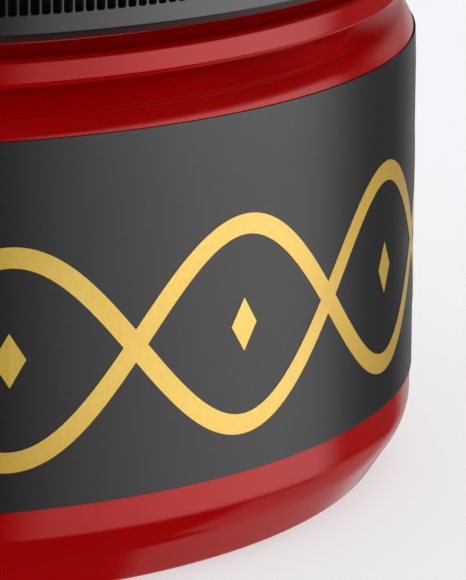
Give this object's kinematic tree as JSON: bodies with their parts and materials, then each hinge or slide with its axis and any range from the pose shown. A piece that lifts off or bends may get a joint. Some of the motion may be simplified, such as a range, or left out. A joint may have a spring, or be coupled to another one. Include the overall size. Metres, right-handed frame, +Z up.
{
  "type": "screw-top jar",
  "caption": "Squat wide-mouth plastic jar with a finely ribbed screw lid, a foam liner and a dark wrap label with a gold foil braid.",
  "frame": {"origin": "centre of the base circle, on the surface that the jar stands on", "axes": "+Z up along the jar's axis; the label's front faces -Y and its seam is at +Y"},
  "size_m": [0.0936, 0.0936, 0.0589],
  "materials": {
    "red_plastic": "smooth glossy moulded plastic, deep red",
    "black_plastic": "satin black moulded plastic",
    "white_foam": "white expanded foam wad, matte",
    "black_film": "satin black label film",
    "gold_foil": "hot-stamped gold foil, slightly grained"
  },
  "bodies": {
    "jar": {"jar_body": "red_plastic", "label": "black_film", "label_foil_braid": "gold_foil", "label_foil_diamond_1": "gold_foil", "label_foil_diamond_2": "gold_foil", "label_foil_diamond_3": "gold_foil", "label_foil_diamond_4": "gold_foil", "label_foil_diamond_5": "gold_foil", "label_foil_diamond_6": "gold_foil", "label_foil_diamond_7": "gold_foil", "label_foil_diamond_8": "gold_foil", "label_foil_diamond_9": "gold_foil", "label_foil_diamond_10": "gold_foil", "label_foil_diamond_11": "gold_foil", "label_foil_diamond_12": "gold_foil"},
    "liner": {"lid_liner": "white_foam"},
    "lid": {"lid_shell": "black_plastic"}
  },
  "joints": [
    {"name": "lid_rise", "type": "slide", "parent": "jar", "child": "liner", "axis": [0, 0, 1], "range_m": [0, 0.02032]},
    {"name": "lid_turn", "type": "hinge", "parent": "liner", "child": "lid", "pos_m": [0, 0, 0.0505], "axis": [0, 0, 1], "range_deg": [0, 1440]}
  ],
  "couplings": [
    {"joint": "lid_rise", "follows": "lid_turn", "m_per_rad": 0.0008085}
  ]
}
